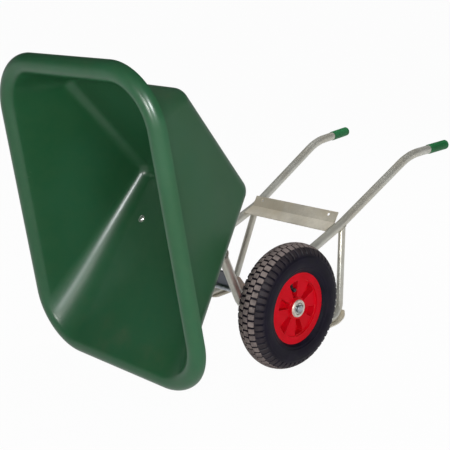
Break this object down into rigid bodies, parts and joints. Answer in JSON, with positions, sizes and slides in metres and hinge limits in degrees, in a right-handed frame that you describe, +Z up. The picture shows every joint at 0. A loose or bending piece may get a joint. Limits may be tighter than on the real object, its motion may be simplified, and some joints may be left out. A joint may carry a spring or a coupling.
{
  "type": "wheelbarrow",
  "caption": "Two wheel tipping wheelbarrow with a deep green moulded tub on a galvanised bent-tube frame",
  "frame": {"origin": "on the ground, under the middle of the box around the tipped barrow", "axes": "+X forward, from the grips to the wheels; +Y to the left of the person pushing; +Z up"},
  "size_m": [1.6048, 0.868, 0.9983],
  "materials": {
    "tub_plastic": "moulded polyethylene, soft sheen",
    "galvanised_tube": "hot dip galvanised, dull",
    "galvanised_plate": "hot dip galvanised, dull",
    "axle_steel": "bright drawn, zinc plated",
    "zinc_fastener": "zinc plated",
    "hub_steel": "zinc plated, turned",
    "grip_plastic": "soft vinyl",
    "tyre_rubber": "moulded rubber with dust",
    "tube_rubber": "rubber",
    "wheel_plastic": "moulded polypropylene",
    "bush_plastic": "nylon"
  },
  "bodies": {
    "frame": {"side_tube_left": "galvanised_tube", "side_tube_right": "galvanised_tube", "front_crossbar": "galvanised_tube", "cross_plate": "galvanised_plate", "leg_left": "galvanised_tube", "leg_right": "galvanised_tube", "foot_plate_left": "galvanised_plate", "foot_plate_right": "galvanised_plate", "grip_left": "grip_plastic", "grip_right": "grip_plastic", "axle": "axle_steel", "axle_plate": "galvanised_plate", "axle_gusset_left": "galvanised_plate", "axle_gusset_right": "galvanised_plate", "axle_collars": "axle_steel", "axle_washers": "zinc_fastener", "split_pins": "zinc_fastener"},
    "tub": {"tub": "tub_plastic", "hinge_strap_left": "galvanised_plate", "hinge_strap_right": "galvanised_plate", "hinge_bolts": "zinc_fastener", "hinge_washers": "zinc_fastener", "hinge_nuts": "zinc_fastener"},
    "wheel_left": {"tyre_left": "tyre_rubber", "inner_tube_left": "tube_rubber", "wheel_centre_left": "wheel_plastic", "valve_left": "tube_rubber", "wheel_hub_left": "hub_steel", "bush_outer_left": "bush_plastic", "bush_inner_left": "bush_plastic"},
    "wheel_right": {"tyre_right": "tyre_rubber", "inner_tube_right": "tube_rubber", "wheel_centre_right": "wheel_plastic", "valve_right": "tube_rubber", "wheel_hub_right": "hub_steel", "bush_outer_right": "bush_plastic", "bush_inner_right": "bush_plastic"}
  },
  "joints": [
    {"name": "tub_tip", "type": "hinge", "parent": "frame", "child": "tub", "pos_m": [0.39868, 0, 0.365], "axis": [0, 1, 0], "range_deg": [-111.6, 0]},
    {"name": "wheel_left_spin", "type": "hinge", "parent": "frame", "child": "wheel_left", "pos_m": [0.28468, 0.38, 0.2], "axis": [0, 1, 0], "continuous": true},
    {"name": "wheel_right_spin", "type": "hinge", "parent": "frame", "child": "wheel_right", "pos_m": [0.28468, -0.38, 0.2], "axis": [0, 1, 0], "continuous": true}
  ]
}
